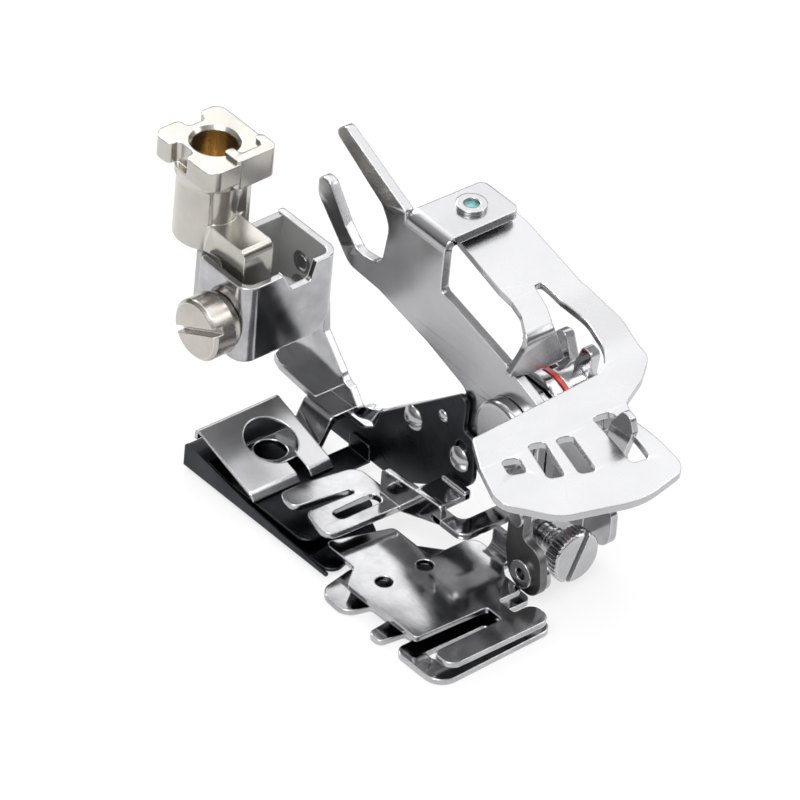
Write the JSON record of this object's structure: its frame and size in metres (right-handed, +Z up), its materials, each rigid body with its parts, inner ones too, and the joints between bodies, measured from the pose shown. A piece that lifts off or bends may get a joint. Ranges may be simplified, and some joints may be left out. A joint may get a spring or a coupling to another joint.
{
  "type": "ruffler presser foot",
  "caption": "Sewing machine gathering and pleating foot: clamp shank, forked arm, slotted pleat lever, ratchet drum, toothed ruffling blade over layered guide plates, knurled depth screw.",
  "frame": {"origin": "centre of the presser-bar bore where it meets the shank's upper face", "axes": "+X to the user's right, -Y to the front towards the user, +Z up along the presser bar"},
  "size_m": [0.0365, 0.0725, 0.0438],
  "materials": {
    "chrome": "bright nickel-chrome plated sheet steel, lightly polished",
    "nickel": "warm nickel plate on a cast and turned shank, satin",
    "blued_steel": "blued spring steel, near black, smooth satin",
    "dark_steel": "dark oxide steel, fine grain",
    "red_paint": "red enamel ring, gloss",
    "teal_paint": "teal enamel dot in the hollow rivet"
  },
  "bodies": {
    "root": {"shank": "nickel", "mount_bracket": "chrome", "bracket_rivets": "chrome", "frame": "chrome", "foot_plate": "chrome", "separator_blade": "blued_steel", "edge_guide": "chrome", "guide_plate": "chrome", "comb_plate": "chrome", "guide_spacers": "chrome", "front_link": "dark_steel", "link_rivets": "chrome", "link_spacer": "chrome", "pivot_shaft": "chrome", "pivot_nut": "chrome"},
    "clamp_screw": {"clamp_screw": "nickel"},
    "fork_arm": {"fork_arm": "chrome", "lever_rivet": "chrome", "rivet_paint": "teal_paint"},
    "adjusting_lever": {"adjusting_lever": "chrome"},
    "blade_carrier": {"blade_carrier": "chrome", "drive_pin": "chrome"},
    "ruffling_blade": {"blade_strip": "blued_steel", "ruffling_blade": "blued_steel", "blade_rivets": "chrome"},
    "ratchet": {"cam_drum": "chrome", "red_ring": "red_paint", "ratchet_wheel": "dark_steel"},
    "adjusting_screw": {"adjusting_screw": "chrome"}
  },
  "joints": [
    {"name": "fork_swing", "type": "hinge", "parent": "root", "child": "fork_arm", "pos_m": [0.0107, -0.0424, -0.0193], "axis": [1, 0, 0], "range_deg": [-6, 12]},
    {"name": "lever_turn", "type": "hinge", "parent": "fork_arm", "child": "adjusting_lever", "pos_m": [0.0169, -0.0254, -0.0026], "axis": [0, 0, 1], "range_deg": [-0.7, 0.7]},
    {"name": "carrier_swing", "type": "hinge", "parent": "root", "child": "blade_carrier", "pos_m": [0.01185, -0.0424, -0.0193], "axis": [1, 0, 0], "range_deg": [-6, 12]},
    {"name": "blade_slide", "type": "slide", "parent": "root", "child": "ruffling_blade", "axis": [0, 1, 0], "range_m": [-0.00079, 0.00158]},
    {"name": "ratchet_turn", "type": "hinge", "parent": "root", "child": "ratchet", "pos_m": [0.0163, -0.0424, -0.0193], "axis": [1, 0, 0], "continuous": true},
    {"name": "clamp_screw_turn", "type": "hinge", "parent": "root", "child": "clamp_screw", "pos_m": [-0.006, -0.0082, -0.0186], "axis": [1, 0, 0], "continuous": true},
    {"name": "adjusting_screw_turn", "type": "hinge", "parent": "root", "child": "adjusting_screw", "pos_m": [0.0151, -0.0491, -0.0348], "axis": [0, 1, 0], "continuous": true}
  ],
  "couplings": [
    {"joint": "carrier_swing", "follows": "fork_swing", "ratio": 1},
    {"joint": "blade_slide", "follows": "fork_swing", "m_per_rad": 0.0075}
  ]
}
